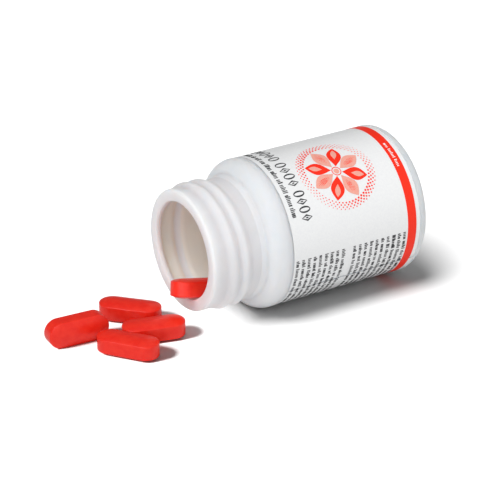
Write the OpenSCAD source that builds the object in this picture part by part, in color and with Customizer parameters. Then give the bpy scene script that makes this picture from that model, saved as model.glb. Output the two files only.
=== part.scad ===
// An open round tablet bottle lying on its side, with the tablets that it holds and has spilled.
// The bottle's axis lies along X with the mouth towards -X, and the set stands on Z = 0.

/* [Bottle] */
// Outside diameter of the body
body_d = 48; // [44:0.5:60]
// Height of the bottle from its standing ring to its lip
bottle_h = 77; // [74:0.5:100]
// Thickness of the blown wall
wall = 1.2; // [0.8:0.1:1.6]
// Radius of the shoulder's outer curve
shoulder_r = 5; // [4.8:0.1:6.2]
// Radius of the heel's outer curve
heel_r = 3.8; // [3:0.1:4.5]
// Inside diameter of the flat standing ring on the base
ring_d = 35; // [30:0.5:37]
// Rise of the base inside the standing ring
push_up = 1.6; // [1:0.1:2.5]
// Depth of the panel that takes the label
panel_depth = 0.25; // [0.2:0.05:0.4]

/* [Neck] */
// Outside diameter of the neck between the threads
neck_d = 38.8; // [38.5:0.1:39.5]
// Length of the neck from the lip to the shoulder
neck_len = 19.2; // [19.1:0.1:20]
// Inside diameter of the thick sealing lip
lip_bore_d = 31.2; // [30:0.1:32.5]
// Inside diameter of the neck behind the lip
neck_bore_d = 36.6; // [35:0.1:36.8]
// Length of the sealing lip along the bore
lip_len = 1.8; // [1.2:0.1:2.4]
// Length of the slope from the lip out to the neck's bore
lip_slope = 0.8; // [0.4:0.1:1.4]
// Radius of the lip's outer edge
lip_outer_r = 0.8; // [0.3:0.1:1.2]
// Radius of the lip's inner edge
lip_inner_r = 0.5; // [0.2:0.1:0.8]
// Distance of the ring bead from the lip
bead_at = 18; // [17.2:0.1:18.1]
// Radius of the ring bead's half-round section
bead_r = 1; // [0.4:0.05:1]

/* [Thread] */
// Diameter over the thread's crest
thread_d = 40.8; // [40.4:0.1:41.4]
// Distance between neighbouring turns
thread_pitch = 4.15; // [4:0.05:4.5]
// Number of turns
thread_turns = 1.75; // [1:0.05:2]
// Distance from the lip at which the thread begins
thread_start = 5.3; // [4.5:0.1:5.6]
// Turn of the thread's beginning past the top of the bottle, away from the front
thread_start_angle = 90; // [60:1:120]
// Width of the thread's ridge at its foot
thread_foot = 3.6; // [3:0.1:3.8]
// Width of the thread's crest
thread_crest = 1.1; // [0.8:0.1:1.5]

/* [Label] */
// Distance of the label's near edge from the lip
label_near = 26; // [25.5:0.1:30]
// Distance of the label's far edge from the base
label_inset = 4; // [3.9:0.1:8]
// Thickness of the label film
label_t = 0.12; // [0.08:0.01:0.15]
// Angle left open where the label's two ends meet
label_seam = 2; // [1:0.5:6]
// Distance between the label's far edge and the coloured band
band_margin = 1.4; // [0.8:0.1:3]
// Width of the coloured band
band_w = 3.2; // [2:0.1:6]
// Thickness of the printed ink
ink_t = 0.03; // [0.02:0.01:0.04]
// Clearance under the film and under the ink
film_gap = 0.02; // [0.01:0.01:0.03]

/* [Print] */
// Distance between the title and the ring of dots around the flower
flower_gap = 1.3; // [0.6:0.1:2]
// Turn of the flower's centre from the top of the bottle towards the front
flower_angle = 32; // [20:1:40]
// Radius of the flower, made smaller if the label has no room for it
flower_r = 9.5; // [7:0.5:10.5]
// Number of petals
petals = 8; // [5:1:10]
// Number of dots in the ring around the flower
dots = 28; // [16:2:36]
// Diameter of one dot
dot_d = 0.9; // [0.5:0.1:1.2]
// Distance of the title from the label's near edge
title_at = 4.5; // [4:0.1:6]
// Height of the title's blocks
title_h = 3.9; // [2:0.1:4.5]
// Distance of the subtitle from the label's near edge
subtitle_at = 1.5; // [1:0.1:1.8]
// Height of the subtitle's line
subtitle_h = 1.3; // [0.8:0.1:1.8]
// Height of a line of small print
line_h = 0.8; // [0.5:0.1:1.2]
// Distance between lines of small print
line_pitch = 2.1; // [1.8:0.1:2.6]
// Space left at both ends of the small print
line_margin = 0.8; // [0.5:0.1:2]
// Extra space between the two blocks of small print
block_gap = 2.1; // [1:0.1:4]

/* [Tablets] */
// Length of a tablet
tablet_l = 20; // [17:0.5:21]
// Width of a tablet
tablet_w = 8.5; // [7:0.1:8.6]
// Thickness of a tablet over its two faces
tablet_t = 6.2; // [5:0.1:6.6]
// Height of the upright band around a tablet
tablet_band = 4.4; // [3.6:0.1:4.6]
// Number of tablets left inside the body
inside_count = 25; // [6:1:25]

/* [Spill] */
// Place along and across from the mouth, in tablet lengths, and turn of the tablet on its edge
spill_left = [-1.735, 0.24, -4]; // [-60:0.005:60]
// Place along and across from the mouth, in tablet lengths, and turn of the back tablet
spill_back = [-0.675, 0.445, -46.7]; // [-60:0.005:60]
// Place along and across from the mouth, in tablet lengths, and turn of the middle tablet
spill_middle = [-0.68, -0.29, -14.7]; // [-60:0.005:60]
// Place along and across from the mouth, in tablet lengths, and turn of the front tablet
spill_front = [-1.265, -0.53, -53]; // [-60:0.005:60]
// Distance from the lip to the centre of the tablet in the mouth
mouth_depth = 4.2; // [4:0.1:6]
// Turn of the tablet in the mouth round the bore, towards the front
mouth_round = 16; // [0:1:20]
// Turn of the tablet in the mouth away from the bottle's axis
mouth_turn = 5.3; // [-6:0.1:6]

/* [Hidden] */
body_r = body_d / 2;
panel_r = body_r - panel_depth;
inside_r = panel_r - wall;
neck_r = neck_d / 2;
neck_in_r = neck_bore_d / 2;
lip_in_r = lip_bore_d / 2;
// The shoulder's arc starts where it meets the neck and ends on the body
shoulder_in = body_r - shoulder_r;
shoulder_at = neck_len + sqrt(shoulder_r ^ 2 - (neck_r - shoulder_in) ^ 2);
shoulder_start = -acos((neck_r - shoulder_in) / shoulder_r);
heel_in = body_r - heel_r;
heel_at = bottle_h - heel_r;
ring_r = ring_d / 2;
label_far = bottle_h - label_inset;
film_r = panel_r + film_gap;
ink_r = film_r + label_t + film_gap;
panel_gap = 0.4;
panel_near = label_near - panel_gap;
panel_far = label_far + 0.1;
dome = 0.4;
round_steps = 8;
facets = 128;

// The print fills the room between the label's near edge and the band
band_near = label_far - band_margin - band_w;
title_end = label_near + title_at + title_h;
dots_ratio = 1.3;
flower_room = band_near - title_end - 2 * flower_gap - dot_d;
flower_fit = min(flower_r, flower_room / (2 * dots_ratio));
flower_mid = title_end + flower_gap + dot_d / 2 + flower_fit * dots_ratio;
line_room = band_near - label_near - 2 * line_margin - line_h - block_gap;
line_n = 1 + floor(line_room / line_pitch);

// The spilled tablets keep their layout when the tablet's size changes
layout_ratio = 2.35;
spread = max(tablet_l, tablet_w * layout_ratio);
band_half = tablet_band / 2;
end_r = tablet_w / 2;
core = (tablet_l - tablet_w) / 2;

// The origin lies on the floor below the middle of the whole set, whose far end is the tablet on its edge
left_end = (core + end_r) * cos(spill_left[2]) + band_half * abs(sin(spill_left[2]));
reach = left_end - spill_left[0] * spread;
mid = (bottle_h - reach) / 2;

// Tilt and place of the tablet that lies over the lip, with its tail down on the wider bore
lip_end = lip_len + lip_slope;
tail_lever = 12.3;
seat_gap = 0.05;
mouth_pitch = asin((neck_in_r - lip_in_r) / tail_lever);
mouth_sink = (mouth_depth - lip_len) * tan(mouth_pitch);
mouth_radius = lip_in_r - tablet_t / 2 / cos(mouth_pitch) + mouth_sink - seat_gap;

// Rows of tablets inside the body, layer on layer, two columns long
row_gap = 0.1;
slip = 1.1;
slip_turn = 137;
crown_h = (tablet_t - tablet_band) / 2;
layer_h = tablet_t + row_gap;
first_half = tablet_w + row_gap;
first_h = row_gap + inside_r - sqrt(inside_r ^ 2 - first_half ^ 2) - crown_h;
function layer_low(k) = first_h + k * layer_h;
function half_chord(h) = sqrt(inside_r ^ 2 - (inside_r - min(h, inside_r)) ^ 2);
function layer_edge(k) = half_chord(layer_low(k) + crown_h);
function row_count(k) = floor((2 * layer_edge(k) + row_gap) / (tablet_w + row_gap));
column_pitch = tablet_l + 2 * slip + row_gap;
rear_at = heel_at - tablet_l / 2 - slip - row_gap;
inside_places = [
    for (k = [0:3], column = [0, 1], i = [0:row_count(k) - 1])
        [rear_at - column * column_pitch, (i - (row_count(k) - 1) / 2) * (tablet_w + row_gap), layer_low(k)]
];
inside_n = min(inside_count, len(inside_places));

// Points on an arc from angle a to angle b
function arc(x, y, r, a, b, n = round_steps) = [
    for (i = [0:n]) let (t = a + (b - a) * i / n) [x + r * cos(t), y + r * sin(t)]
];

// The bottle's wall in section: radius across, distance from the lip up
function bottle_section() = concat(
    arc(neck_r - lip_outer_r, lip_outer_r, lip_outer_r, -90, 0),
    arc(neck_r, bead_at, bead_r, -90, 90),
    arc(shoulder_in, shoulder_at, shoulder_r, shoulder_start, 0, 2 * round_steps),
    [[body_r, panel_near - panel_depth], [panel_r, panel_near], [panel_r, panel_far]],
    arc(heel_in, heel_at, heel_r, 0, 90),
    [[ring_r, bottle_h], [ring_r - push_up, bottle_h - push_up], [0, bottle_h - push_up - dome]],
    [[0, bottle_h - push_up - dome - wall], [ring_r - push_up - wall / 2, bottle_h - push_up - wall]],
    [[ring_r - wall / 2, bottle_h - wall]],
    arc(heel_in, heel_at, heel_r - wall - panel_depth, 90, 0),
    arc(shoulder_in, shoulder_at, shoulder_r - wall - panel_depth, 0, -90, 2 * round_steps),
    [[neck_in_r, shoulder_at - shoulder_r + wall + panel_depth], [neck_in_r, lip_end], [lip_in_r, lip_len]],
    arc(lip_in_r + lip_inner_r, lip_inner_r, lip_inner_r, 180, 270, 4)
);

// Lays what is drawn round Z down along X, with the lip at its true place
module laid() {
    translate([-mid, 0, body_r]) rotate([0, 90, 0]) children();
}

// A ring of height h that starts at distance s from the lip, open by an angle at the back
seam_turn = 60;
module ring(r, t, s, h, open = 0) {
    rotate([0, 0, seam_turn]) rotate_extrude(angle = 360 - open, $fn = facets)
        translate([r, s]) square([t, h]);
}

// Lists the ridge's section at one step, faded in and out at its two ends
thread_step = 10;
thread_n = round(thread_turns * 360 / thread_step);
thread_fade = 4;
root_sink = 0.4;
function thread_ring(i) =
    let (
        a = i * thread_step + 180 - thread_start_angle,
        s = thread_start + thread_pitch * i * thread_step / 360,
        grow = min(1, (i + 0.5) / thread_fade, (thread_n - i + 0.5) / thread_fade),
        crest = neck_r + (thread_d - neck_d) / 2 * grow,
        root = neck_r - root_sink,
        outline = [[root, -thread_foot / 2], [crest, -thread_crest / 2], [crest, thread_crest / 2],
                   [root, thread_foot / 2]]
    )
    [for (p = outline) [p[0] * cos(a), p[0] * sin(a), s + p[1]]];

module thread() {
    rings = [for (i = [0:thread_n]) each thread_ring(i)];
    sides = [
        for (i = [0:thread_n - 1], j = [0:3])
            [4 * i + j, 4 * i + (j + 1) % 4, 4 * (i + 1) + (j + 1) % 4, 4 * (i + 1) + j]
    ];
    last = 4 * thread_n;
    polyhedron(rings, concat([[3, 2, 1, 0]], sides, [[last, last + 1, last + 2, last + 3]]), convexity = 4);
}

module bottle() {
    color("#eceef0") laid() {
        rotate_extrude($fn = facets) polygon(bottle_section());
        thread();
    }
}

module label() {
    color("#f1f2f3") laid() ring(film_r, label_t, label_near, label_far - label_near, label_seam);
}

module print_band() {
    color("#f03a28") laid() ring(ink_r, ink_t, band_near, band_w, label_seam);
}

// Keeps of a flat drawing what falls on the label's face at the given place
module printed(s, angle) {
    intersection() {
        ring(ink_r, ink_t, label_near, label_far - label_near, label_seam);
        rotate([0, 0, 180 + angle]) translate([0, 0, s]) rotate([0, 90, 0])
            linear_extrude(body_r) children();
    }
}

// One petal of the flower, where two circles overlap
petal_size = 0.62;
petal_out = 0.58;
petal_part = 0.62;
module petal() {
    petal_r = flower_fit * petal_size;
    translate([flower_fit * petal_out, 0]) intersection() {
        translate([0, -petal_r * petal_part]) circle(petal_r, $fn = 48);
        translate([0, petal_r * petal_part]) circle(petal_r, $fn = 48);
    }
}

module print_flower() {
    color("#e8402e") laid() printed(flower_mid, flower_angle) {
        for (k = [0:petals - 1]) rotate(360 / petals * k) petal();
        for (k = [0:dots - 1]) rotate(360 / dots * k) translate([flower_fit * dots_ratio, 0]) circle(d = dot_d, $fn = 16);
    }
}

// A bar of ink at distance s from the lip, between two angles from the top towards the front
module bar(s, h, from, to) {
    rotate([0, 0, 180 + from]) rotate_extrude(angle = to - from, $fn = facets)
        translate([ink_r, s]) square([ink_t, h]);
}

title_words = [[-24, 7], [10, 36], [39, 64]];
subtitle_angles = [-20, 60];
module print_title() {
    color("#2b2b2d") laid() {
        for (w = title_words) bar(label_near + title_at, title_h, w[0], w[1]);
        bar(label_near + subtitle_at, subtitle_h, subtitle_angles[0], subtitle_angles[1]);
    }
}

// Columns of lines with ragged ends: one low on the front and one at the back
columns = [[88, 150], [-106, -50]];
ragged_step = 4;
module print_lines() {
    color("#3c3c40") laid() {
        for (column = columns, k = [0:line_n - 1]) {
            s = label_near + line_margin + k * line_pitch + (k < floor(line_n / 2) ? 0 : block_gap);
            bar(s, line_h, column[0] + ragged_step * (k * 5 % 3), column[1]);
        }
    }
}

// Half of a tablet's section: distance from its middle plane up
function tablet_half() = let (
    r = (end_r ^ 2 + crown_h ^ 2) / (2 * crown_h),
    a = asin(end_r / r),
    top = tablet_t / 2
) concat(
    arc(0, top - r, r, 90, 90 - a, 6),
    arc(0, r - top, r, a - 90, -90, 6)
);

module tablet() {
    half = tablet_half();
    color("#e8382c") {
        for (side = [-1, 1]) translate([side * core, 0, 0]) rotate_extrude($fn = 64) polygon(half);
        rotate([90, 0, 90]) linear_extrude(2 * core, center = true)
            polygon(concat(half, [for (i = [len(half) - 1:-1:0]) [-half[i][0], half[i][1]]]));
    }
}

// A tablet that lies flat on the floor
module flat_tablet(place) {
    translate([place[0] * spread - mid, place[1] * spread, tablet_t / 2]) rotate(place[2]) tablet();
}

module tablet_mouth() {
    translate([mouth_depth - mid, 0, body_r]) rotate([-mouth_round, 0, 0]) translate([0, 0, -mouth_radius])
        rotate([0, 0, mouth_turn]) rotate([0, mouth_pitch, 0]) tablet();
}

module tablet_left() {
    translate([spill_left[0] * spread - mid, spill_left[1] * spread, end_r])
        rotate([90, 0, spill_left[2]]) tablet();
}

module tablet_back() {
    flat_tablet(spill_back);
}

module tablet_middle() {
    flat_tablet(spill_middle);
}

module tablet_front() {
    flat_tablet(spill_front);
}

// One tablet of the pile inside, slid a little along its row
module tablet_inside(k) {
    place = inside_places[k];
    translate([place[0] + slip * sin(slip_turn * k) - mid, place[1], body_r - inside_r + place[2] + tablet_t / 2])
        tablet();
}

bottle();
label();
print_band();
print_flower();
print_title();
print_lines();
tablet_mouth();
tablet_left();
tablet_back();
tablet_middle();
tablet_front();
for (k = [0:inside_n - 1]) tablet_inside(k);
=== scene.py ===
import math
import random

import bmesh
import bpy
from mathutils import Matrix, Vector


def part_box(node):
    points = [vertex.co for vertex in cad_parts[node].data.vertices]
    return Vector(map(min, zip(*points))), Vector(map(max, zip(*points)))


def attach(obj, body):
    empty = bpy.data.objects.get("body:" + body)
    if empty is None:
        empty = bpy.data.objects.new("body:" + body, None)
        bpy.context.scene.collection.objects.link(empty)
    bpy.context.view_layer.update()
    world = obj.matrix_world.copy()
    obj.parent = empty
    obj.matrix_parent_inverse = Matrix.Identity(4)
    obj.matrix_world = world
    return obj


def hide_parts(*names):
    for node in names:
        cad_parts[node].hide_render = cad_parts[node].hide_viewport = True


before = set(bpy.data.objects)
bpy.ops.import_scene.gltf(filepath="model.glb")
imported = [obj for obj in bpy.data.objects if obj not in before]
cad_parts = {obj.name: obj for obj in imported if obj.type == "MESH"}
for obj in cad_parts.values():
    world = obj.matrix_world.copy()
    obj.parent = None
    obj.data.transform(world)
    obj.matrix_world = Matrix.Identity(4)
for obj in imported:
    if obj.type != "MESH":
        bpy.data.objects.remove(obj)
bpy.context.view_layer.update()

MM = 0.001

# Points closer than these are merged, and a point this near a tablet's cut or the neck's wall lies on it
MERGE = 0.002 * MM
PRINT_MERGE = 0.001 * MM
ON_CUT = 0.001 * MM
ON_NECK = 0.01 * MM

# Faces that meet at a sharper angle than this keep their edge
SHARP_ANGLE = math.radians(35)

# The colour sockets of a Mix node, whose names repeat
MIX_A = 6
MIX_B = 7
MIX_RESULT = 2

# The frame: the bottle lies along X with its lip at LIP_X and its axis at height AXIS_Z
bottle_low, bottle_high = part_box("bottle")
LIP_X = bottle_low[0]
BOTTLE_H = bottle_high[0] - bottle_low[0]
BODY_R = (bottle_high[1] - bottle_low[1]) / 2
AXIS_Z = bottle_low[2] + BODY_R

# Sizes of the blown bottle
WALL = 1.2 * MM
PANEL_DEPTH = 0.25 * MM
SHOULDER_R = 5.0 * MM
HEEL_R = 3.8 * MM
RING_R = 17.5 * MM
PUSH_UP = 1.6 * MM
DOME = 0.4 * MM
NECK_R = 19.4 * MM
NECK_LEN = 19.2 * MM
NECK_IN_R = 18.3 * MM
LIP_IN_R = 15.6 * MM
LIP_LEN = 1.8 * MM
LIP_END = 2.6 * MM
LIP_OUTER_ROUND = 0.8 * MM
LIP_INNER_ROUND = 0.5 * MM
BEAD_AT = 18.6 * MM
BEAD_RISE = 0.5 * MM
BEAD_WIDTH = 1.5 * MM
LABEL_GAP = 0.02 * MM
PANEL_SPARE = 0.1 * MM
BASE_STEP = 2 * MM
BOTTLE_TURN_STEPS = 256

# The hollow behind the bead takes the place of this many of the shoulder's first points
HOLLOW_POINTS = 4

# How far in and up the side of the push-up bends, as shares of its depth
PUSH_UP_BEND = (0.4, 0.55)

# Where the arcs of the shoulder and heel have their centres, and the panel that the label lies on
SHOULDER_IN_R = BODY_R - SHOULDER_R
SHOULDER_AT = NECK_LEN + math.sqrt(SHOULDER_R ** 2 - (NECK_R - SHOULDER_IN_R) ** 2)
HEEL_IN_R = BODY_R - HEEL_R
HEEL_AT = BOTTLE_H - HEEL_R
PANEL_R = BODY_R - PANEL_DEPTH

# Where the painted warm bounce light inside the neck ends: out from the neck's bore, towards the lip, and
# short of the base
BOUNCE_TINT_FULL_OUT = 0.3 * MM
BOUNCE_TINT_END_OUT = 0.6 * MM
BOUNCE_TINT_START_AT = 0.6 * MM
BOUNCE_TINT_FULL_AT = 3 * MM
BOUNCE_TINT_END_AT = 60 * MM

# The screw thread, a soft ridge that runs round the neck and shows faintly inside it
THREAD_RISE = 1.0 * MM
THREAD_START = 5.3 * MM
THREAD_PITCH = 4.15 * MM
THREAD_TURNS = 1.75
THREAD_START_ANGLE = math.radians(-90)
THREAD_HALF_WIDTH = 2.75 * MM
THREAD_FADE = 0.11
THREAD_INSIDE = 0.7
THREAD_RING_STEP = 0.25 * MM

# Points up to this far outside the neck's wall are raised by the thread
THREAD_REACH = 0.1 * MM

# The label and its print
label_low, label_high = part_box("label")
LABEL_NEAR = label_low[0] - LIP_X
LABEL_FAR = label_high[0] - LIP_X
FILM_R = (label_high[1] - label_low[1]) / 2
FILM_T = 0.12 * MM
FILM_SEAM = math.radians(2)
SEAM_ANGLE = math.radians(-121)
INK_R = FILM_R + 0.02 * MM
INK_T = 0.03 * MM
PRINT_STRIP = 0.6 * MM
STROKE_W = 0.3 * MM
STROKE_PITCH = 0.55 * MM
LINE_H = 1.25 * MM
SUBTITLE_H = 1.7 * MM
MARKS_H = 1.0 * MM

# How the strokes that stand for print vary: strokes in a word, and chances and shares of tall and wide ones
WORD_STROKES = (3, 8)
WORD_GAP = 0.9
TALL_CHANCE = 0.3
SHORT_SHARE = 0.72
WIDE_CHANCE = 0.25
WIDE_SHARE = 1.5
BOLD_WIDTH = 1.3
BOLD_PITCH = 1.15
PRINT_SEED = 5
MARKS_SEED = 3

# The band and what is printed on the label: places from the lip, angles from the top towards the front
BAND_NEAR = LABEL_FAR - 4.6 * MM
BAND_W = 3.2 * MM
FLOWER_AT = LABEL_NEAR + 22.5 * MM
FLOWER_ANGLE = math.radians(32)
FLOWER_R = 9.5 * MM
PETALS = 8
DOTS_IN_ROW = 56
TITLE_AT = LABEL_NEAR + 4.5 * MM
TITLE_H = 3.9 * MM
TITLE_WORDS = ((-24, 7, 5), (10, 36, 4), (39, 64, 4))
SUBTITLE_AT = LABEL_NEAR + 1.5 * MM
SUBTITLE_SPAN = (-20, 60)
MARKS_SPAN = (18, 42)
LINE_MARGIN = 0.8 * MM
LINE_PITCH = 2.1 * MM
LINE_COUNT = 19
FIRST_BLOCK_LINES = 9
BLOCK_GAP = 2.1 * MM
LINE_COLUMNS = ((92, 150), (-106, -50))
LINE_RAGGED = 4
RAGGED_STEPS = 3
BOLD_LINES = (11, 16, 17)

# A petal's start, end and half width as shares of the flower's radius, and its outline's skew and points
FULL_PETAL = (0.19, 1.08, 0.245)
CORE_PETAL = (0.5, 0.96, 0.1)
PETAL_SKEW = 1.15
PETAL_STEPS = 12

# The veins that fan out on every second petal: turns in radians, and shares of the flower's radius
VEIN_BENDS = (-2, -1, 0, 1, 2)
VEIN_TURN = 0.055
VEIN_START = 0.36
VEIN_START_STEP = 0.04
VEIN_END = 0.98
VEIN_END_STEP = 0.07
VEIN_HALF_WIDTH = 0.011

# The flower's heart and the outside and inside of the ring round it, as shares of its radius
HEART_R = 0.1
HEART_RING = (0.17, 0.14)

# The rows of dots: distance from the flower's middle and size, in mm; they shrink away from the peak turn
DOT_ROWS = ((10.8, 0.74), (11.5, 0.7), (12.2, 0.62), (12.85, 0.5))
DOT_LEAST = 0.55
DOT_PEAK_TURN = 0.9

# The title's ornaments: half their width as a share of their pitch, and how thick their strokes are
RING_SIDES = 28
LOZENGE_SIDES = 4
ORNAMENT_SHARE = 0.41
THIN_STROKE = 0.3 * MM
THICK_STROKE = 0.52 * MM

# The heart of a lozenge, as shares of half its height and of its pitch
LOZENGE_HEART = (0.3, 0.1)

# A corner that bends less than this stays sharp, and rounding takes at most this share of each side
LEAST_BEND = math.radians(8)
MOST_ROUNDED = 0.45

# Sizes of a tablet, and how the loose ones are turned
TABLET_L = 20 * MM
TABLET_W = 8.5 * MM
TABLET_T = 6.2 * MM
TABLET_BAND = 4.4 * MM
EDGE_ROUND = 0.3 * MM
TABLET_TURN_STEPS = 64
TABLET_TURNS = {"tablet_back": -46.7, "tablet_middle": -14.7, "tablet_front": -53.0}
LEFT_TURN = -4.0
MOUTH_ROUND = -16.0
MOUTH_TURN = 5.3
MOUTH_PITCH = 12.68

# The floor: how white and how wide, and where from the lip the sheet under the bottle fades in
FLOOR_WHITE = 0.9
FLOOR_REACH = 3.0
FLOOR_STEP = 0.02 * MM
FADE_START = 10 * MM
FADE_END = 22 * MM

# How strongly the pale room lights the set
ROOM_LIGHT = 0.14

# The camera, as the photograph was taken: aimed at a point on the bottle's axis
CAMERA_AZIMUTH = math.radians(-31.8)
CAMERA_ELEVATION = math.radians(25.8)
CAMERA_DISTANCE = 820 * MM
CAMERA_LENS = 195.0
CAMERA_SENSOR = 36.0
AIM_FROM_LIP = 40 * MM
AIM_RIGHT = -15.97 * MM
AIM_UP = -5.85 * MM


def linear(hex_colour):
    """Turns an sRGB hex colour to the linear values that a shader takes."""
    channels = [int(hex_colour[i:i + 2], 16) / 255 for i in (1, 3, 5)]
    return tuple(c / 12.92 if c <= 0.04045 else ((c + 0.055) / 1.055) ** 2.4 for c in channels) + (1.0,)


def add_node(tree, kind, inputs=(), links=(), **settings):
    """Adds a node with its settings, its unlinked values and its links from other sockets."""
    node = tree.nodes.new(kind)
    for name, value in settings.items():
        setattr(node, name, value)
    for name, value in dict(inputs).items():
        node.inputs[name].default_value = value
    for name, socket in dict(links).items():
        tree.links.new(socket, node.inputs[name])
    return node


def new_material(name, **values):
    """A material with its Principled shader set to the given values."""
    material = bpy.data.materials.new(name)
    material.use_nodes = True
    shader = material.node_tree.nodes["Principled BSDF"]
    for key, value in values.items():
        shader.inputs[key.replace("_", " ")].default_value = value
    return material, material.node_tree, shader


def mottle(tree, scale_mm, detail=3.0):
    """Noise in object coordinates whose lumps are about scale_mm across."""
    place = add_node(tree, "ShaderNodeTexCoord")
    return add_node(
        tree, "ShaderNodeTexNoise", {"Scale": 1 / (scale_mm * MM), "Detail": detail},
        {"Vector": place.outputs["Object"]},
    )


def colour_between(tree, factor, low, high):
    """Mixes two hex colours by a noise factor stretched from its usual range."""
    stretch = add_node(tree, "ShaderNodeMapRange", {"From Min": 0.35, "From Max": 0.65}, {"Value": factor})
    mix = add_node(tree, "ShaderNodeMix", links={"Factor": stretch.outputs["Result"]}, data_type="RGBA")
    mix.inputs[MIX_A].default_value = linear(low)
    mix.inputs[MIX_B].default_value = linear(high)
    return mix.outputs[MIX_RESULT]


def roughness_between(tree, factor, low, high):
    """Roughness that wanders between two values with a noise factor."""
    stretch = add_node(
        tree, "ShaderNodeMapRange",
        {"From Min": 0.3, "From Max": 0.7, "To Min": low, "To Max": high}, {"Value": factor},
    )
    return stretch.outputs["Result"]


def bump(tree, height, distance_mm):
    """A bump of the given height in millimetres."""
    node = add_node(
        tree, "ShaderNodeBump", {"Strength": 1.0, "Distance": distance_mm * MM}, {"Height": height},
    )
    return node.outputs["Normal"]


def bounce_tint_share(tree):
    """Where the painted bounce light lies: one inside the neck, zero outside, by distance from the bottle's
    axis, its lip and its base.
    """
    place = add_node(tree, "ShaderNodeTexCoord")
    axes = add_node(tree, "ShaderNodeSeparateXYZ", links={"Vector": place.outputs["Object"]})
    across = add_node(tree, "ShaderNodeCombineXYZ", links={"Y": axes.outputs["Y"], "Z": axes.outputs["Z"]})
    radius = add_node(
        tree, "ShaderNodeVectorMath", {1: (0, 0, AXIS_Z)}, {0: across.outputs["Vector"]},
        operation="DISTANCE",
    )
    near_axis = add_node(
        tree, "ShaderNodeMapRange",
        {"From Min": NECK_IN_R + BOUNCE_TINT_END_OUT, "From Max": NECK_IN_R + BOUNCE_TINT_FULL_OUT},
        {"Value": radius.outputs["Value"]},
    )
    off_lip = add_node(
        tree, "ShaderNodeMapRange", {"From Min": LIP_X + BOUNCE_TINT_START_AT, "From Max": LIP_X + BOUNCE_TINT_FULL_AT},
        {"Value": axes.outputs["X"]},
    )
    off_base = add_node(
        tree, "ShaderNodeMath", {1: LIP_X + BOUNCE_TINT_END_AT}, {0: axes.outputs["X"]}, operation="LESS_THAN",
    )
    share = near_axis.outputs["Result"]
    for other in (off_lip.outputs["Result"], off_base.outputs["Value"]):
        product = add_node(tree, "ShaderNodeMath", links={0: share, 1: other}, operation="MULTIPLY")
        share = product.outputs["Value"]
    return share


def blown_polyethylene():
    """Blown white HDPE: a waxy cool white with a fine orange peel, with painted warm bounce light that makes
    it warmer and lighter inside the neck.
    """
    material, tree, shader = new_material(
        "blown_polyethylene", IOR=1.54, Specular_IOR_Level=0.3, Subsurface_Weight=1.0,
        Subsurface_Scale=5.0 * MM, Subsurface_Radius=(1.0, 0.85, 0.75),
    )
    cloud = mottle(tree, scale_mm=9.0)
    peel = mottle(tree, scale_mm=0.9, detail=2.0)
    white = colour_between(tree, cloud.outputs["Fac"], "#ebedee", "#f0f1f2")
    # Painted bounce light: a warmer, lighter white inside the neck stands in for the red tablets' glow and
    # the light through the wall
    painted_bounce = add_node(tree, "ShaderNodeMix", links={"Factor": bounce_tint_share(tree)}, data_type="RGBA")
    painted_bounce.inputs[MIX_B].default_value = linear("#fff0df")
    tree.links.new(white, painted_bounce.inputs[MIX_A])
    tree.links.new(painted_bounce.outputs[MIX_RESULT], shader.inputs["Base Color"])
    tree.links.new(roughness_between(tree, cloud.outputs["Fac"], 0.46, 0.54), shader.inputs["Roughness"])
    tree.links.new(bump(tree, peel.outputs["Fac"], 0.012), shader.inputs["Normal"])
    return material


def coated_label():
    """White polypropylene label film, satin-coated: almost the bottle's white, a shade smoother."""
    material, tree, shader = new_material("coated_label_film", IOR=1.49)
    grain = mottle(tree, scale_mm=0.6, detail=4.0)
    white = colour_between(tree, grain.outputs["Fac"], "#eeeff0", "#f2f3f3")
    tree.links.new(white, shader.inputs["Base Color"])
    tree.links.new(roughness_between(tree, grain.outputs["Fac"], 0.36, 0.42), shader.inputs["Roughness"])
    tree.links.new(bump(tree, grain.outputs["Fac"], 0.004), shader.inputs["Normal"])
    return material


def printing_ink(name, low, high):
    """Flexographic ink on film: flat colour with a faint grain where the ink lies thinner."""
    material, tree, shader = new_material(name, IOR=1.48, Specular_IOR_Level=0.3)
    grain = mottle(tree, scale_mm=0.35, detail=4.0)
    tree.links.new(colour_between(tree, grain.outputs["Fac"], low, high), shader.inputs["Base Color"])
    tree.links.new(roughness_between(tree, grain.outputs["Fac"], 0.35, 0.42), shader.inputs["Roughness"])
    return material


def tablet_film():
    """Hypromellose film coat on a pressed tablet: a soft satin red over a faint orange peel."""
    material, tree, shader = new_material(
        "tablet_film_coat", IOR=1.45, Specular_IOR_Level=0.35, Coat_Weight=0.25, Coat_Roughness=0.14,
        Subsurface_Weight=0.08, Subsurface_Scale=0.6 * MM, Subsurface_Radius=(1.0, 0.25, 0.2),
    )
    patches = mottle(tree, scale_mm=2.2, detail=3.0)
    peel = mottle(tree, scale_mm=0.3, detail=2.0)
    red = colour_between(tree, patches.outputs["Fac"], "#f62413", "#fc301c")
    tree.links.new(red, shader.inputs["Base Color"])
    tree.links.new(roughness_between(tree, patches.outputs["Fac"], 0.36, 0.46), shader.inputs["Roughness"])
    tree.links.new(bump(tree, peel.outputs["Fac"], 0.02), shader.inputs["Normal"])
    return material


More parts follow.
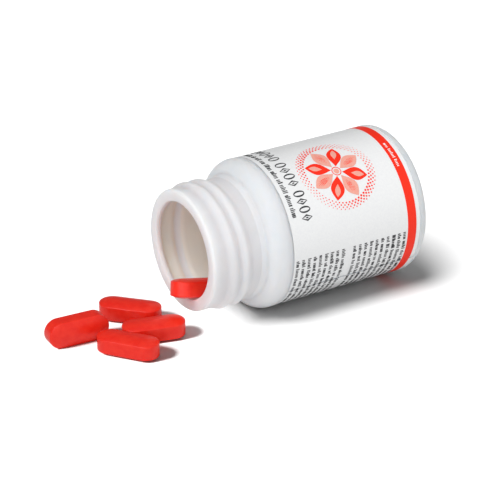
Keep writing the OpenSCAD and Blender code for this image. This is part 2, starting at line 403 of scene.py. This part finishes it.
def studio_floor(name, fades_in):
    """A matt white sheet, greyer in the light that it throws back, which may fade in along X."""
    material, tree, shader = new_material(name, Roughness=0.9)
    shader.inputs["Specular IOR Level"].default_value = 0.0
    ray = add_node(tree, "ShaderNodeLightPath")
    mix = add_node(tree, "ShaderNodeMix", links={"Factor": ray.outputs["Is Camera Ray"]}, data_type="RGBA")
    mix.inputs[MIX_A].default_value = linear("#bcbcbc")
    mix.inputs[MIX_B].default_value = (FLOOR_WHITE, FLOOR_WHITE, FLOOR_WHITE, 1)
    tree.links.new(mix.outputs[MIX_RESULT], shader.inputs["Base Color"])
    if fades_in:
        place = add_node(tree, "ShaderNodeTexCoord")
        axes = add_node(tree, "ShaderNodeSeparateXYZ", links={"Vector": place.outputs["Object"]})
        fade = add_node(
            tree, "ShaderNodeMapRange", {"From Min": LIP_X + FADE_START, "From Max": LIP_X + FADE_END},
            {"Value": axes.outputs["X"]},
        )
        tree.links.new(fade.outputs["Result"], shader.inputs["Alpha"])
    return material


def finish_piece(bm, name, material, nodes):
    """Turns a bmesh into a piece that rides on the root and stands for the given nodes."""
    mesh = bpy.data.meshes.new(name)
    bm.to_mesh(mesh)
    bm.free()
    mesh.materials.append(material)
    for face in mesh.polygons:
        face.use_smooth = True
    mesh.set_sharp_from_angle(angle=SHARP_ANGLE)
    piece = bpy.data.objects.new(name, mesh)
    bpy.context.scene.collection.objects.link(piece)
    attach(piece, "root")
    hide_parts(*nodes)
    return piece


def arc(x, y, r, start, end, steps):
    """Points on an arc, with angles in degrees."""
    points = []
    for i in range(steps + 1):
        a = math.radians(start + (end - start) * i / steps)
        points.append((x + r * math.cos(a), y + r * math.sin(a)))
    return points


def straight(start, end, step):
    """Points between two ends, left out, a step apart."""
    length = math.dist(start, end)
    count = max(1, round(length / step))
    return [
        tuple(start[k] + (end[k] - start[k]) * i / count for k in (0, 1))
        for i in range(1, count)
    ]


def curve(start, control, end, steps):
    """Points on a curve that leaves its start towards the control point and reaches its end from there."""
    a, b, c = Vector(start), Vector(control), Vector(end)
    shares = [i / steps for i in range(steps + 1)]
    return [tuple((1 - t) ** 2 * a + 2 * t * (1 - t) * b + t ** 2 * c) for t in shares]


def bottle_outside():
    """The bottle's outer outline from the lip to the middle of the base: radius, distance from the lip."""
    shoulder_start = -math.degrees(math.acos((NECK_R - SHOULDER_IN_R) / SHOULDER_R))
    crest_r = NECK_R + BEAD_RISE
    bead_start = (NECK_R, BEAD_AT - BEAD_WIDTH)
    near = LABEL_NEAR - LABEL_GAP
    bend_in, bend_up = (share * PUSH_UP for share in PUSH_UP_BEND)
    base_edge = (RING_R - PUSH_UP, BOTTLE_H - PUSH_UP)
    base_middle = (0, BOTTLE_H - PUSH_UP - DOME)
    lip = arc(NECK_R - LIP_OUTER_ROUND, LIP_OUTER_ROUND, LIP_OUTER_ROUND, -90, 0, steps=6)
    shoulder = arc(SHOULDER_IN_R, SHOULDER_AT, SHOULDER_R, shoulder_start, 0, steps=20)
    bead = curve(bead_start, (crest_r, BEAD_AT - BEAD_WIDTH / 2), (crest_r, BEAD_AT), steps=6)
    hollow = curve(bead[-1], (crest_r, NECK_LEN), shoulder[HOLLOW_POINTS], steps=6)
    return (
        lip
        + straight(lip[-1], bead[0], THREAD_RING_STEP)
        + bead
        + hollow[1:-1]
        + shoulder[HOLLOW_POINTS:]
        + [(FILM_R + LABEL_GAP, near), (PANEL_R, near), (PANEL_R, LABEL_FAR + PANEL_SPARE)]
        + arc(HEEL_IN_R, HEEL_AT, HEEL_R, 0, 90, steps=12)
        + [(RING_R, BOTTLE_H), (RING_R - bend_in, BOTTLE_H - bend_up), base_edge]
        + straight(base_edge, base_middle, BASE_STEP)
        + [base_middle]
    )


def bottle_inside():
    """The inner outline from the middle of the base back to the lip."""
    inner = WALL + PANEL_DEPTH
    base = BOTTLE_H - PUSH_UP - WALL
    neck_start = (NECK_IN_R, SHOULDER_AT - SHOULDER_R + inner)
    neck_end = (NECK_IN_R, LIP_END)
    return (
        [(0, base - DOME), (RING_R - PUSH_UP - WALL / 2, base), (RING_R - WALL / 2, BOTTLE_H - WALL)]
        + arc(HEEL_IN_R, HEEL_AT, HEEL_R - inner, 90, 0, steps=8)
        + arc(SHOULDER_IN_R, SHOULDER_AT, SHOULDER_R - inner, 0, -90, steps=14)
        + [neck_start]
        + straight(neck_start, neck_end, THREAD_RING_STEP)
        + [neck_end, (LIP_IN_R, LIP_LEN)]
        + arc(LIP_IN_R + LIP_INNER_ROUND, LIP_INNER_ROUND, LIP_INNER_ROUND, 180, 270, steps=5)
    )


def ridge_height(s, angle):
    """How far the thread stands out of the neck at distance s from the lip and an angle from the top."""
    turn = ((angle - THREAD_START_ANGLE) / math.tau) % 1.0
    height = 0.0
    while turn <= THREAD_TURNS:
        off = abs(s - THREAD_START - THREAD_PITCH * turn) / THREAD_HALF_WIDTH
        if off < 1:
            ends = min(1.0, turn / THREAD_FADE, (THREAD_TURNS - turn) / THREAD_FADE)
            shape = 0.5 + 0.5 * math.cos(math.pi * off)
            height += shape * ends * ends * (3 - 2 * ends)
        turn += 1.0
    return THREAD_RISE * height


def build_bottle():
    """The blown shell, spun from its section, with the thread raised out of the neck."""
    bm = bmesh.new()
    outline = bottle_outside() + bottle_inside()
    verts = [bm.verts.new((LIP_X + s, 0, AXIS_Z + r)) for r, s in outline]
    edges = [bm.edges.new(pair) for pair in zip(verts, verts[1:] + verts[:1])]
    bmesh.ops.spin(
        bm, geom=verts + edges, cent=(0, 0, AXIS_Z), axis=(1, 0, 0), angle=math.tau,
        steps=BOTTLE_TURN_STEPS, use_merge=True, use_duplicate=False,
    )
    bmesh.ops.remove_doubles(bm, verts=bm.verts, dist=MERGE)
    for v in bm.verts:
        s = v.co.x - LIP_X
        across = Vector((0, v.co.y, v.co.z - AXIS_Z))
        if LIP_END < s < BEAD_AT - BEAD_WIDTH and across.length < NECK_R + THREAD_REACH:
            share = 1 if across.length > NECK_R - ON_NECK else THREAD_INSIDE
            v.co += across.normalized() * share * ridge_height(s, math.atan2(-across.y, across.z))
    bmesh.ops.recalc_face_normals(bm, faces=bm.faces)
    return finish_piece(bm, "bottle_shell", blown_polyethylene(), ["bottle"])


def build_label():
    """The film, wrapped round the panel with a narrow gap where its ends meet."""
    bm = bmesh.new()
    film_in_r = FILM_R - FILM_T
    corners = [(LABEL_NEAR, film_in_r), (LABEL_NEAR, FILM_R), (LABEL_FAR, FILM_R), (LABEL_FAR, film_in_r)]
    face = bm.faces.new([bm.verts.new((LIP_X + s, 0, AXIS_Z + r)) for s, r in corners])
    geom = [face] + list(face.verts) + list(face.edges)
    start = Matrix.Rotation(-SEAM_ANGLE - FILM_SEAM / 2, 3, "X")
    bmesh.ops.rotate(bm, verts=face.verts, cent=(0, 0, AXIS_Z), matrix=start)
    bmesh.ops.spin(
        bm, geom=geom, cent=(0, 0, AXIS_Z), axis=(1, 0, 0), angle=FILM_SEAM - math.tau,
        steps=BOTTLE_TURN_STEPS, use_merge=False, use_duplicate=False,
    )
    bmesh.ops.remove_doubles(bm, verts=bm.verts, dist=MERGE)
    bmesh.ops.recalc_face_normals(bm, faces=bm.faces)
    return finish_piece(bm, "label_film_wrap", coated_label(), ["label"])


def circle(x, y, rx, ry, count):
    """Points round an ellipse."""
    turns = [math.tau * i / count for i in range(count)]
    return [(x + rx * math.cos(t), y + ry * math.sin(t)) for t in turns]


def between(outer, inner):
    """Quads that fill the space between two closed outlines of as many points."""
    n = len(outer)
    return [[outer[i], outer[(i + 1) % n], inner[(i + 1) % n], inner[i]] for i in range(n)]


def block(x, y, height, width):
    """A rectangle with its low corner at x along the bottle and y round it."""
    return [(x, y), (x + height, y), (x + height, y + width), (x, y + width)]


def build_print(name, shapes, material, nodes, layer=0):
    """Ink on the label: flat shapes cut into narrow strips, thickened and wrapped round the bottle."""
    bm = bmesh.new()
    for shape in shapes:
        bm.faces.new([bm.verts.new((x, y, 0)) for x, y in shape])
    bmesh.ops.remove_doubles(bm, verts=bm.verts, dist=PRINT_MERGE)
    ys = [v.co.y for v in bm.verts]
    step = PRINT_STRIP
    for k in range(math.floor(min(ys) / step) + 1, math.ceil(max(ys) / step)):
        geom = list(bm.verts) + list(bm.edges) + list(bm.faces)
        bmesh.ops.bisect_plane(bm, geom=geom, dist=PRINT_MERGE, plane_co=(0, k * step, 0), plane_no=(0, 1, 0))
    bmesh.ops.recalc_face_normals(bm, faces=bm.faces)
    bmesh.ops.solidify(bm, geom=list(bm.faces), thickness=INK_T)
    low = min(v.co.z for v in bm.verts)
    for v in bm.verts:
        angle = v.co.y / INK_R
        r = INK_R + layer * INK_T + v.co.z - low
        v.co = (LIP_X + v.co.x, -r * math.sin(angle), AXIS_Z + r * math.cos(angle))
    bmesh.ops.recalc_face_normals(bm, faces=bm.faces)
    return finish_piece(bm, name, material, nodes)


def petal(turn, start, end, half_width):
    """A pointed petal from one distance to another from the flower's middle, as shares of its radius."""
    outline = []
    for side in (1, -1):
        for i in range(PETAL_STEPS):
            t = i / PETAL_STEPS if side == 1 else 1 - i / PETAL_STEPS
            along = start + (end - start) * t
            across = side * half_width * math.sin(math.pi * t ** PETAL_SKEW)
            outline.append((along * FLOWER_R, across * FLOWER_R))
    c, s = math.cos(turn), math.sin(turn)
    middle = FLOWER_ANGLE * INK_R
    return [(FLOWER_AT + c * a - s * b, middle + s * a + c * b) for a, b in outline]


def build_flower(red, pale):
    """A generic flower of red and pale petals in a ring of halftone dots."""
    turns = [math.tau * (k + 0.5) / PETALS for k in range(PETALS)]
    full = [petal(t, *FULL_PETAL) for t in turns]
    core = [petal(t, *CORE_PETAL) for t in turns]
    veins = []
    for turn in turns[1::2]:
        for bend in VEIN_BENDS:
            vein_start = VEIN_START + abs(bend) * VEIN_START_STEP
            vein_end = VEIN_END - abs(bend) * VEIN_END_STEP
            veins.append(petal(turn + bend * VEIN_TURN, vein_start, vein_end, VEIN_HALF_WIDTH))
    middle = FLOWER_ANGLE * INK_R
    heart_r = HEART_R * FLOWER_R
    heart = [circle(FLOWER_AT, middle, heart_r, heart_r, 24)]
    ring_out, ring_in = (share * FLOWER_R for share in HEART_RING)
    ring = between(
        circle(FLOWER_AT, middle, ring_out, ring_out, 32),
        circle(FLOWER_AT, middle, ring_in, ring_in, 32),
    )
    dots = []
    for row, (distance, size) in enumerate(DOT_ROWS):
        for k in range(DOTS_IN_ROW):
            turn = math.tau * (k + 0.5 * (row % 2)) / DOTS_IN_ROW
            r = size * MM / 2 * (DOT_LEAST + (1 - DOT_LEAST) * math.cos(turn - DOT_PEAK_TURN) ** 2)
            x = FLOWER_AT + distance * MM * math.cos(turn)
            y = middle + distance * MM * math.sin(turn)
            dots.append(circle(x, y, r, r, 8))
    build_print("flower_red_petals", full[0::2], red, ["print_flower"])
    build_print("flower_pale_petals", full[1::2] + heart, pale, ["print_flower"])
    build_print("flower_pale_cores", core[0::2], pale, ["print_flower"], layer=1)
    build_print("flower_veins", veins, red, ["print_flower"], layer=1)
    build_print("flower_dots", dots + ring, red, ["print_flower"])


def build_title(ink):
    """A row of rings and lozenges in the title's place."""
    shapes = []
    half = TITLE_H / 2
    for first, last, count in TITLE_WORDS:
        pitch = math.radians(last - first) * INK_R / count
        for k in range(count):
            y = math.radians(first) * INK_R + pitch * (k + 0.5)
            x = TITLE_AT + half
            sides = RING_SIDES if k % 2 == 0 else LOZENGE_SIDES
            outer = circle(x, y, half, pitch * ORNAMENT_SHARE, sides)
            inner = circle(x, y, half - THIN_STROKE, pitch * ORNAMENT_SHARE - THICK_STROKE, sides)
            shapes += between(outer, inner)
            if sides == LOZENGE_SIDES:
                shapes.append(circle(x, y, half * LOZENGE_HEART[0], pitch * LOZENGE_HEART[1], sides))
    build_print("title_ornaments", shapes, ink, ["print_title"])


def strokes(x, first, last, height, rng, bold=1.0):
    """A line of small upright strokes in groups, from one angle to another, that stands for small print."""
    shapes = []
    y = math.radians(first) * INK_R
    end = math.radians(last) * INK_R
    while y < end - STROKE_PITCH:
        for _ in range(rng.randint(*WORD_STROKES)):
            if y > end - STROKE_PITCH:
                break
            tall = height if rng.random() < TALL_CHANCE else height * SHORT_SHARE
            width = STROKE_W * bold * (WIDE_SHARE if rng.random() < WIDE_CHANCE else 1.0)
            shapes.append(block(x, y, tall, width))
            y += STROKE_PITCH * (BOLD_PITCH if bold > 1 else 1.0)
        y += STROKE_PITCH * WORD_GAP
    return shapes


def build_small_print(ink):
    """The subtitle's row and the two columns of small print, one low on the front and one at the back."""
    rng = random.Random(PRINT_SEED)
    subtitle = strokes(SUBTITLE_AT, *SUBTITLE_SPAN, SUBTITLE_H, rng)
    build_print("subtitle_strokes", subtitle, ink, ["print_title"])
    shapes = []
    for first, last in LINE_COLUMNS:
        for k in range(LINE_COUNT):
            x = LABEL_NEAR + LINE_MARGIN + k * LINE_PITCH + (BLOCK_GAP if k >= FIRST_BLOCK_LINES else 0)
            end = last - LINE_RAGGED * (k * 5 % RAGGED_STEPS)
            shapes += strokes(x, first, end, LINE_H, rng, BOLD_WIDTH if k in BOLD_LINES else 1.0)
    build_print("small_print_strokes", shapes, ink, ["print_lines"])


def build_band(red, white):
    """The red band round the label's far end, with a short row of white strokes on it."""
    first = SEAM_ANGLE + FILM_SEAM / 2
    band = [block(BAND_NEAR, first * INK_R, BAND_W, (math.tau - FILM_SEAM) * INK_R)]
    build_print("red_band", band, red, ["print_band"])
    marks_at = BAND_NEAR + (BAND_W - MARKS_H) / 2
    marks = strokes(marks_at, *MARKS_SPAN, MARKS_H, random.Random(MARKS_SEED))
    build_print("band_strokes", marks, white, ["print_band"], layer=1)


def build_all_print():
    """Everything that is printed on the label."""
    red = printing_ink("red_flexo_ink", "#fb2a10", "#ff3318")
    pale = printing_ink("pale_red_flexo_ink", "#f2a392", "#f6b1a2")
    black = printing_ink("black_flexo_ink", "#2e2f32", "#3c3d40")
    white = printing_ink("white_flexo_ink", "#f1efee", "#f6f5f4")
    build_flower(red, pale)
    build_title(black)
    build_small_print(black)
    build_band(red, white)


def tablet_section():
    """Half of a tablet's section, from the middle of its upper face to the middle of its lower one."""
    half_w = TABLET_W / 2
    rise = (TABLET_T - TABLET_BAND) / 2
    radius = (half_w ** 2 + rise ** 2) / (2 * rise)
    reach = math.degrees(math.asin(half_w / radius))
    upper = arc(0, TABLET_T / 2 - radius, radius, 90, 90 - reach, steps=10)
    return upper + [(x, -z) for x, z in reversed(upper)]


def rounded(points, radius, steps):
    """An open outline with its inner corners rounded."""
    result = [points[0]]
    for before, here, after in zip(points, points[1:], points[2:]):
        a, b, c = Vector(before), Vector(here), Vector(after)
        into, out = (b - a).normalized(), (c - b).normalized()
        bend = into.angle(out)
        if bend < LEAST_BEND:
            result.append(here)
            continue
        back = min(radius * math.tan(bend / 2), (b - a).length * MOST_ROUNDED, (c - b).length * MOST_ROUNDED)
        result += curve(b - into * back, b, b + out * back, steps)
    return result + [points[-1]]


def tablet_shape():
    """One tablet round the origin: a spun disc cut in two, with its halves drawn apart and bridged."""
    bm = bmesh.new()
    outline = rounded(tablet_section(), EDGE_ROUND, steps=4)
    verts = [bm.verts.new((0, x, z)) for x, z in outline]
    edges = [bm.edges.new(pair) for pair in zip(verts, verts[1:])]
    bmesh.ops.spin(
        bm, geom=verts + edges, cent=(0, 0, 0), axis=(0, 0, 1), angle=math.tau,
        steps=TABLET_TURN_STEPS, use_merge=True, use_duplicate=False,
    )
    bmesh.ops.remove_doubles(bm, verts=bm.verts, dist=MERGE)
    cut = [e for e in bm.edges if all(abs(v.co.x) < ON_CUT for v in e.verts)]
    bmesh.ops.split_edges(bm, edges=cut)
    core = (TABLET_L - TABLET_W) / 2
    for v in bm.verts:
        side = sum(f.calc_center_median().x for f in v.link_faces)
        v.co.x += math.copysign(core, side)
    open_edges = [e for e in bm.edges if e.is_boundary]
    bmesh.ops.bridge_loops(bm, edges=open_edges)
    bmesh.ops.recalc_face_normals(bm, faces=bm.faces)
    return bm


def turned(x=0.0, y=0.0, z=0.0):
    """A turn about X, then Y, then Z, in degrees."""
    turns = [Matrix.Rotation(math.radians(a), 4, axis) for a, axis in ((z, "Z"), (y, "Y"), (x, "X"))]
    return turns[0] @ turns[1] @ turns[2]


def build_tablet(node, turn, material):
    """A tablet in the place of its node, turned as it lies."""
    low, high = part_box(node)
    middle = (Vector(low) + Vector(high)) / 2
    bm = tablet_shape()
    bmesh.ops.transform(bm, matrix=Matrix.Translation(middle) @ turn, verts=bm.verts)
    return finish_piece(bm, node + "_coated", material, [node])


def build_tablets():
    """The pile inside, the tablet in the mouth and the loose ones, which are returned."""
    material = tablet_film()
    loose = [build_tablet(node, turned(z=turn), material) for node, turn in TABLET_TURNS.items()]
    loose.append(build_tablet("tablet_left", turned(x=90, z=LEFT_TURN), material))
    mouth = turned(x=MOUTH_ROUND) @ turned(z=MOUTH_TURN) @ turned(y=MOUTH_PITCH)
    build_tablet("tablet_mouth", mouth, material)
    inside = [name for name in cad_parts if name.startswith("tablet_inside_")]
    for node in sorted(inside):
        build_tablet(node, Matrix.Identity(4), material)
    return loose


def build_floor():
    """The plain floor: a sheet under the loose tablets, and one on it that fades in below the neck."""
    sheets = []
    for name, low, high, z in (
        ("floor_under_tablets", -FLOOR_REACH, LIP_X + FADE_END, -FLOOR_STEP),
        ("floor_under_bottle", LIP_X + FADE_START, FLOOR_REACH, 0),
    ):
        material = studio_floor(name, fades_in=z == 0)
        bm = bmesh.new()
        corners = [(low, -FLOOR_REACH), (high, -FLOOR_REACH), (high, FLOOR_REACH), (low, FLOOR_REACH)]
        bm.faces.new([bm.verts.new((x, y, z)) for x, y in corners])
        mesh = bpy.data.meshes.new(name)
        bm.to_mesh(mesh)
        bm.free()
        mesh.materials.append(material)
        sheet = bpy.data.objects.new(name, mesh)
        bpy.context.scene.collection.objects.link(sheet)
        sheets.append(sheet)
    return sheets


def add_sun(name, azimuth, elevation, strength, spread):
    """A soft lamp in a direction: azimuth from +X towards +Y, elevation above the floor, in degrees."""
    lamp = bpy.data.lights.new(name, "SUN")
    lamp.energy = strength
    lamp.angle = math.radians(spread)
    holder = bpy.data.objects.new(name, lamp)
    a, e = math.radians(azimuth), math.radians(elevation)
    towards = Vector((math.cos(a) * math.cos(e), math.sin(a) * math.cos(e), math.sin(e)))
    holder.rotation_euler = towards.to_track_quat("Z", "Y").to_euler()
    bpy.context.scene.collection.objects.link(holder)
    return holder


def linked(name, pieces, state):
    """A collection that lets a lamp reach only the given pieces, or everything but them."""
    group = bpy.data.collections.new(name)
    for piece in pieces:
        group.objects.link(piece)
    for item in group.collection_objects:
        item.light_linking.link_state = state
    return group


def build_light(sheets, loose):
    """Lamps for the set, lamps that draw its shadows on the floor, and a pale room.

    In the photograph the loose tablets throw longer shadows than the bottle, so each sheet has its own lamp.
    """
    off_floor = linked("off_floor", sheets, "EXCLUDE")
    for lamp in (
        add_sun("key_light", azimuth=-170, elevation=63, strength=1.32, spread=28),
        add_sun("front_fill", azimuth=-125, elevation=12, strength=0.9, spread=80),
        add_sun("room_fill", azimuth=-90, elevation=30, strength=0.85, spread=180),
        add_sun("base_fill", azimuth=-35, elevation=15, strength=0.4, spread=90),
    ):
        lamp.light_linking.receiver_collection = off_floor
    mouth = add_sun("mouth_fill", azimuth=-148, elevation=14, strength=0.6, spread=60)
    mouth.light_linking.receiver_collection = linked("off_floor_and_loose", sheets + loose, "EXCLUDE")
    left, right = (linked(sheet.name + "_only", [sheet], "INCLUDE") for sheet in sheets)
    spill = add_sun("tablet_shadows", azimuth=174, elevation=40, strength=6.2, spread=14)
    spill.light_linking.receiver_collection = left
    spill.light_linking.blocker_collection = linked("loose_tablets", loose, "INCLUDE")
    bottle = add_sun("bottle_shadow", azimuth=-168, elevation=64, strength=4.6, spread=34)
    bottle.light_linking.receiver_collection = right
    world = bpy.data.worlds.new("room")
    world.use_nodes = True
    bpy.context.scene.world = world
    tree = world.node_tree
    background = tree.nodes["Background"]
    ray = add_node(tree, "ShaderNodeLightPath")
    seen = add_node(
        tree, "ShaderNodeMapRange", {"To Min": ROOM_LIGHT, "To Max": 1.0},
        {"Value": ray.outputs["Is Camera Ray"]},
    )
    background.inputs["Color"].default_value = linear("#ffffff")
    tree.links.new(seen.outputs["Result"], background.inputs["Strength"])


def build_camera():
    """The photograph's camera."""
    back = Vector((
        math.sin(CAMERA_AZIMUTH) * math.cos(CAMERA_ELEVATION),
        -math.cos(CAMERA_AZIMUTH) * math.cos(CAMERA_ELEVATION),
        math.sin(CAMERA_ELEVATION),
    ))
    right = Vector((math.cos(CAMERA_AZIMUTH), math.sin(CAMERA_AZIMUTH), 0))
    up = back.cross(right)
    aim = Vector((LIP_X + AIM_FROM_LIP, 0, AXIS_Z)) + right * AIM_RIGHT + up * AIM_UP
    data = bpy.data.cameras.new("camera")
    data.lens = CAMERA_LENS
    data.sensor_width = CAMERA_SENSOR
    camera = bpy.data.objects.new("camera", data)
    camera.location = aim + back * CAMERA_DISTANCE
    camera.rotation_euler = back.to_track_quat("Z", "Y").to_euler()
    bpy.context.scene.collection.objects.link(camera)
    bpy.context.scene.camera = camera


build_camera()
build_bottle()
build_label()
build_all_print()
build_light(build_floor(), build_tablets())

bpy.context.scene.view_settings.view_transform = "Standard"
